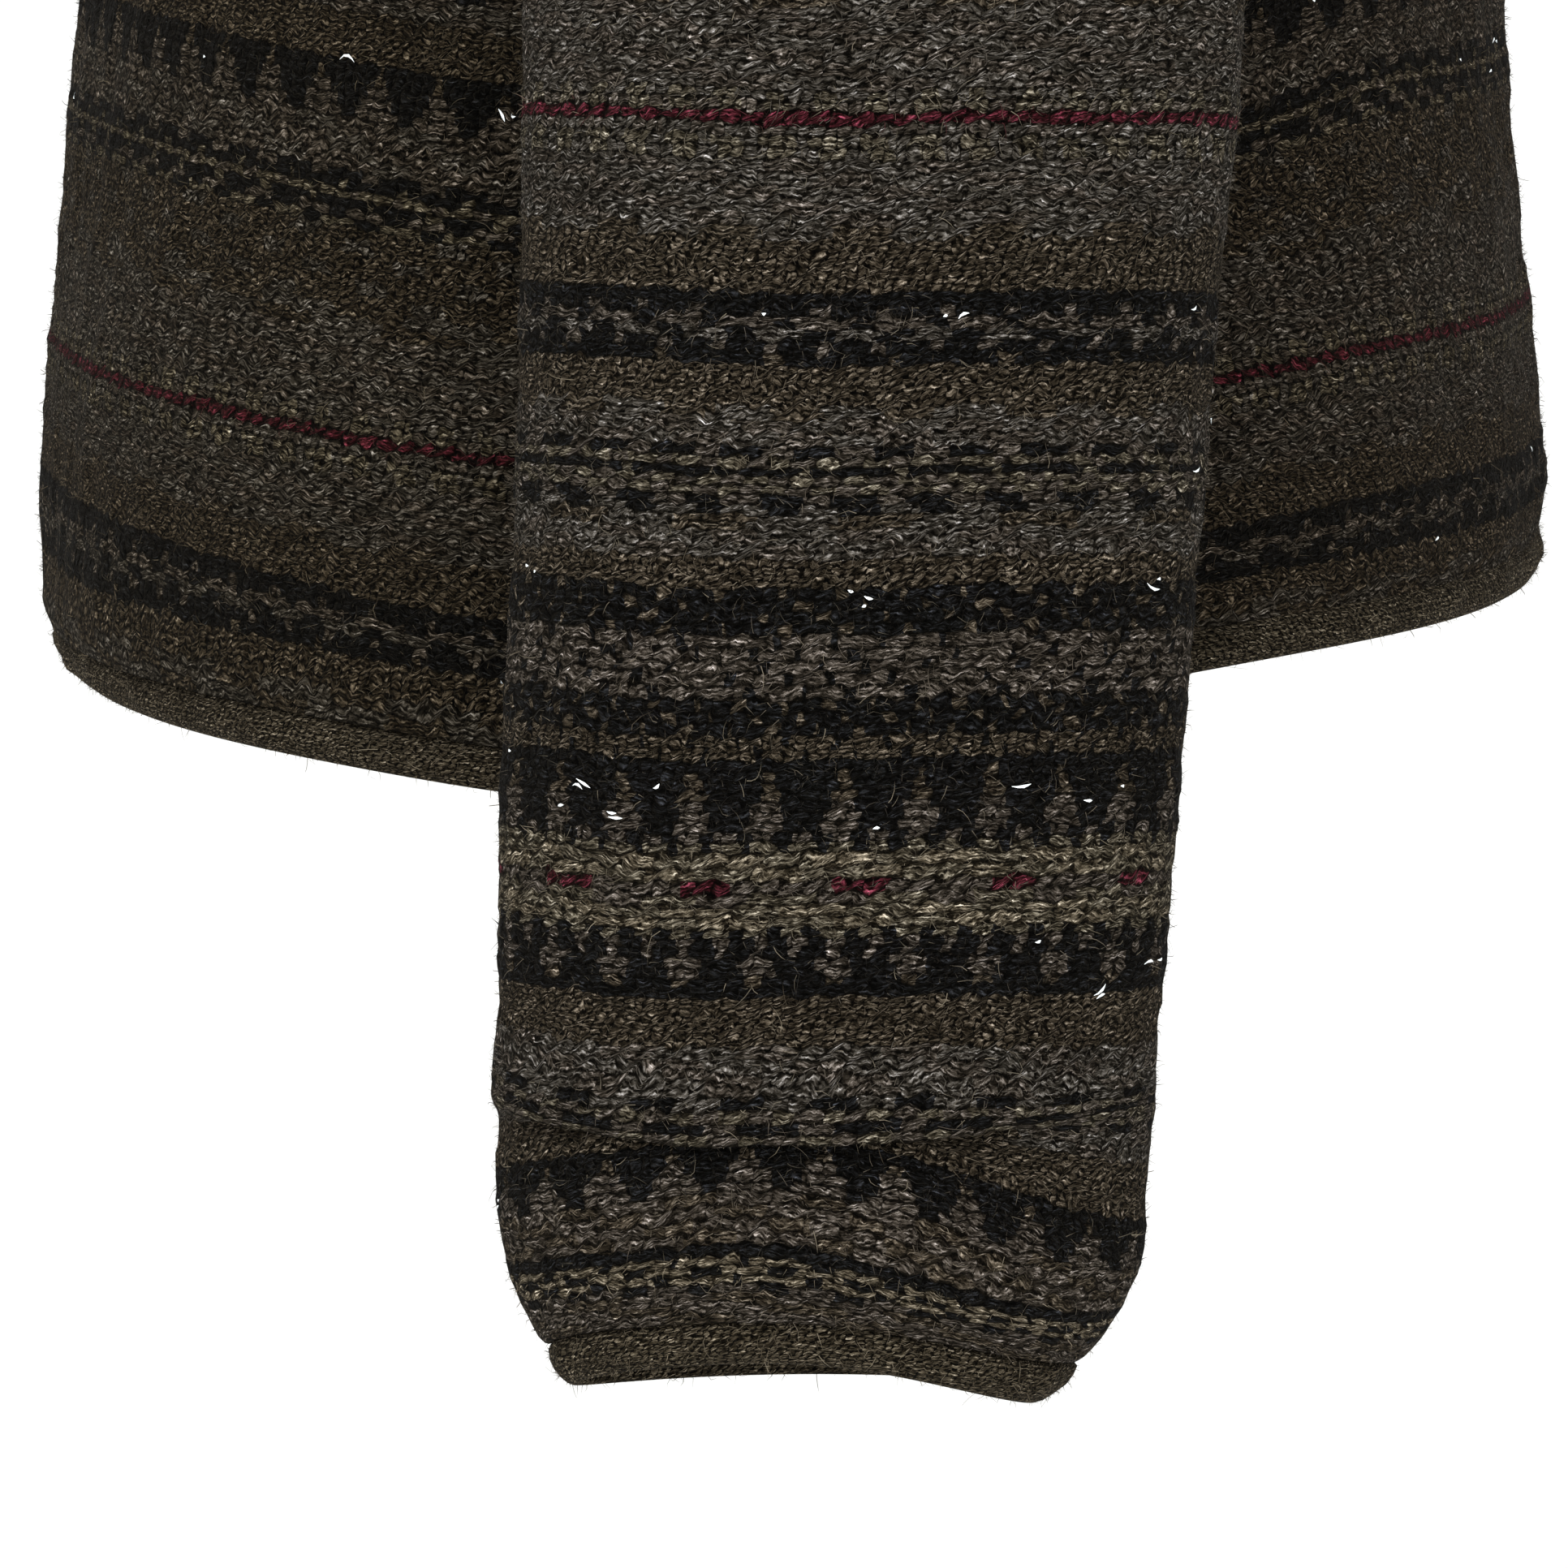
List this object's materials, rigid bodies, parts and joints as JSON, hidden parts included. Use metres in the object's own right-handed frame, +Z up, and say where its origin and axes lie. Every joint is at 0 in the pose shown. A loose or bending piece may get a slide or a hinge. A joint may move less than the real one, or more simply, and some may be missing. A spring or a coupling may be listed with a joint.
{
  "type": "fair isle crewneck sweater",
  "caption": "Boxy drop-shoulder knitted sweater with a round neck, long straight sleeves and narrow plain bands, banded all over in a traditional multicolour pattern.",
  "frame": {"origin": "middle of the neck opening at the height of the shoulder seams, where the wearer holds the sweater up", "axes": "+Z up, front towards -Y, the wearer's left towards +X"},
  "size_m": [0.5884, 0.2942, 0.711],
  "materials": {
    "patterned_knit": "soft brushed fair isle knit in black, brown, grey, beige and burgundy",
    "plain_knit": "fine dark brown plain knit"
  },
  "bodies": {
    "root": {"front": "patterned_knit", "back": "patterned_knit", "sleeve_left": "patterned_knit", "sleeve_right": "patterned_knit", "neckband": "plain_knit", "hem_band_front": "plain_knit", "hem_band_back": "plain_knit", "cuff_band_left": "plain_knit", "cuff_band_right": "plain_knit"}
  },
  "joints": []
}
